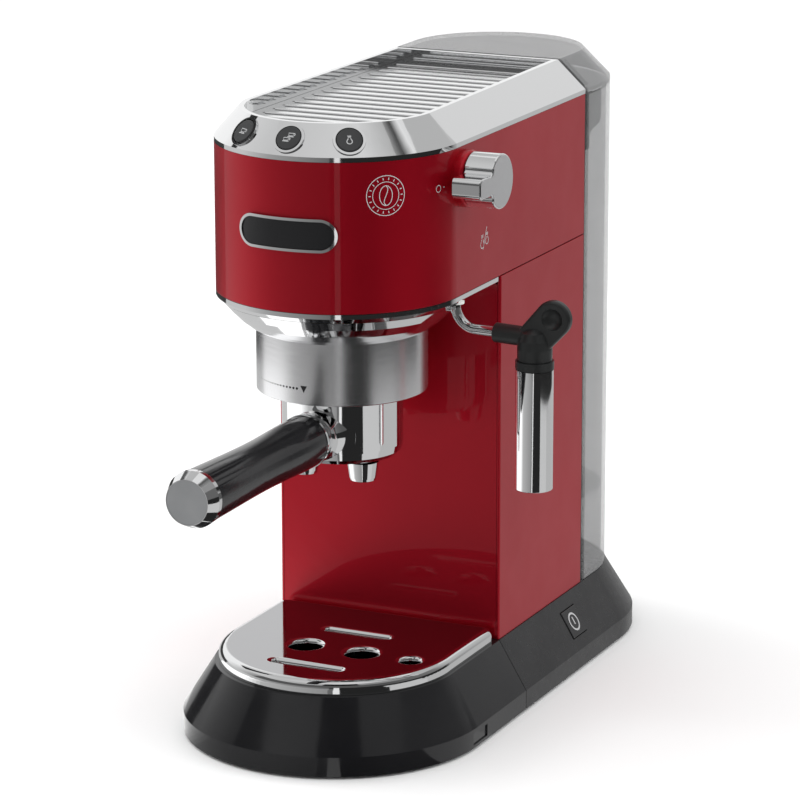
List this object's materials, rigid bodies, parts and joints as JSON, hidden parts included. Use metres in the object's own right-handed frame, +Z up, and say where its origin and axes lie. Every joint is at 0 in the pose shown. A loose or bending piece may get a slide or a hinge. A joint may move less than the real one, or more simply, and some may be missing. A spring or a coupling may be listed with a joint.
{
  "type": "espresso machine",
  "caption": "Slim pump espresso machine with a locking filter holder, swinging steam wand, cup warmer on top, pull-out drip tray and a lift-out rear water tank.",
  "frame": {"origin": "on the surface that the machine stands on, straight below the brewing axis", "axes": "+Z up, the machine's front faces -Y, +X is the side of the steam knob"},
  "size_m": [0.1892, 0.4087, 0.305],
  "materials": {
    "red_paint": "high gloss",
    "black_gloss": "gloss",
    "black_plastic": "matte",
    "black_satin": "satin",
    "rubber": "matte",
    "steel": "satin",
    "polished_steel": "mirror",
    "brushed_steel": "brushed",
    "chrome": "mirror",
    "satin_grey": "satin",
    "button_grey": "satin",
    "tank_smoke": "clear gloss",
    "lid_smoke": "clear gloss",
    "brass": "machined",
    "copper": "enamelled wire",
    "cast_aluminium": "cast",
    "silicone": "satin",
    "white_plastic": "satin",
    "board_green": "satin",
    "component_grey": "satin"
  },
  "bodies": {
    "machine_body": {"base_housing": "black_gloss", "base_plate": "black_plastic", "screws": "steel", "rubber_feet": "rubber", "cord_gland": "rubber", "column_front_panel": "red_paint", "side_panels": "red_paint", "rear_frame": "black_plastic", "inner_chassis": "steel", "pump_body": "white_plastic", "pump_coil": "copper", "inner_rubbers": "rubber", "flow_meter": "white_plastic", "water_hoses": "silicone", "pressure_tubes": "white_plastic", "thermoblock": "cast_aluminium", "steam_valve": "brass", "circuit_boards": "board_green", "electrical_parts": "component_grey", "tank_dock": "black_plastic", "head_shell": "red_paint", "top_frame": "chrome", "cup_tray": "brushed_steel", "head_trim": "chrome", "group_dish": "chrome", "group_collar": "brushed_steel", "bayonet_ring": "brass", "brewing_head": "brass", "shower_screen": "brushed_steel", "wand_socket": "white_plastic", "button_bezels": "chrome", "badge_rim": "chrome", "badge_face": "black_gloss"},
    "drip_tray": {"drip_tray": "black_gloss"},
    "cup_grille": {"cup_grille": "polished_steel"},
    "drip_float": {"drip_float": "black_plastic"},
    "filter_holder": {"holder_body": "chrome", "spouts": "chrome", "filter_basket": "brushed_steel", "holder_grip": "black_gloss", "holder_bolt": "steel", "grip_cap_ring": "chrome", "grip_cap_disc": "satin_grey"},
    "steam_knob": {"steam_knob": "chrome", "valve_spindle": "steel"},
    "steam_wand": {"wand_pipe": "polished_steel", "wand_elbow": "black_satin", "frother_core": "black_satin"},
    "frother_sleeve": {"frother_sleeve": "chrome"},
    "button_one_cup": {"button_one_cup": "button_grey"},
    "button_two_cups": {"button_two_cups": "button_grey"},
    "button_steam": {"button_steam": "button_grey"},
    "power_switch": {"power_switch": "black_gloss"},
    "water_tank": {"water_tank": "tank_smoke", "tank_handle": "black_plastic", "tank_valve_body": "white_plastic"},
    "tank_lid": {"tank_lid": "lid_smoke", "lid_hinge_arms": "black_plastic"},
    "tank_valve_plunger": {"tank_valve_plunger": "white_plastic", "tank_valve_spring": "steel"}
  },
  "joints": [
    {"name": "drip_tray_slide", "type": "slide", "parent": "machine_body", "child": "drip_tray", "axis": [0, -1, 0], "range_m": [0, 0.14]},
    {"name": "grille_lift", "type": "slide", "parent": "drip_tray", "child": "cup_grille", "axis": [0, 0, 1], "range_m": [0, 0.03]},
    {"name": "float_rise", "type": "slide", "parent": "drip_tray", "child": "drip_float", "axis": [0, 0, 1], "range_m": [0, 0.012]},
    {"name": "holder_turn", "type": "hinge", "parent": "machine_body", "child": "filter_holder", "pos_m": [0, 0, 0.15], "axis": [0, 0, 1], "range_deg": [-45, 0]},
    {"name": "knob_turn", "type": "hinge", "parent": "machine_body", "child": "steam_knob", "pos_m": [0.07, 0.008, 0.2735], "axis": [1, 0, 0], "range_deg": [0, 125]},
    {"name": "wand_swing", "type": "hinge", "parent": "machine_body", "child": "steam_wand", "pos_m": [0.0535, 0.012, 0.2217], "axis": [0, 0, 1], "range_deg": [-60, 50]},
    {"name": "sleeve_pull", "type": "slide", "parent": "steam_wand", "child": "frother_sleeve", "axis": [0, 0, -1], "range_m": [0, 0.07]},
    {"name": "button_one_cup_press", "type": "slide", "parent": "machine_body", "child": "button_one_cup", "axis": [0.3764, 0.6791, -0.6302], "range_m": [0, 0.0012], "stiffness_N_per_m": 500, "springref_m": -0.0012},
    {"name": "button_two_cups_press", "type": "slide", "parent": "machine_body", "child": "button_two_cups", "axis": [0, 0.7764, -0.6302], "range_m": [0, 0.0012], "stiffness_N_per_m": 500, "springref_m": -0.0012},
    {"name": "button_steam_press", "type": "slide", "parent": "machine_body", "child": "button_steam", "axis": [-0.3882, 0.6724, -0.6302], "range_m": [0, 0.0012], "stiffness_N_per_m": 500, "springref_m": -0.0012},
    {"name": "power_switch_press", "type": "slide", "parent": "machine_body", "child": "power_switch", "axis": [-0.8559, 0, -0.5171], "range_m": [0, 0.0015], "stiffness_N_per_m": 800, "springref_m": -0.001},
    {"name": "tank_lift", "type": "slide", "parent": "machine_body", "child": "water_tank", "axis": [0, 0, 1], "range_m": [0, 0.28]},
    {"name": "lid_hinge", "type": "hinge", "parent": "water_tank", "child": "tank_lid", "pos_m": [0, 0.163, 0.3005], "axis": [1, 0, 0], "range_deg": [0, 80]},
    {"name": "valve_plunger_lift", "type": "slide", "parent": "water_tank", "child": "tank_valve_plunger", "axis": [0, 0, 1], "range_m": [0, 0.003], "stiffness_N_per_m": 200, "springref_m": -0.003, "deforming": ["tank_valve_spring"]}
  ]
}
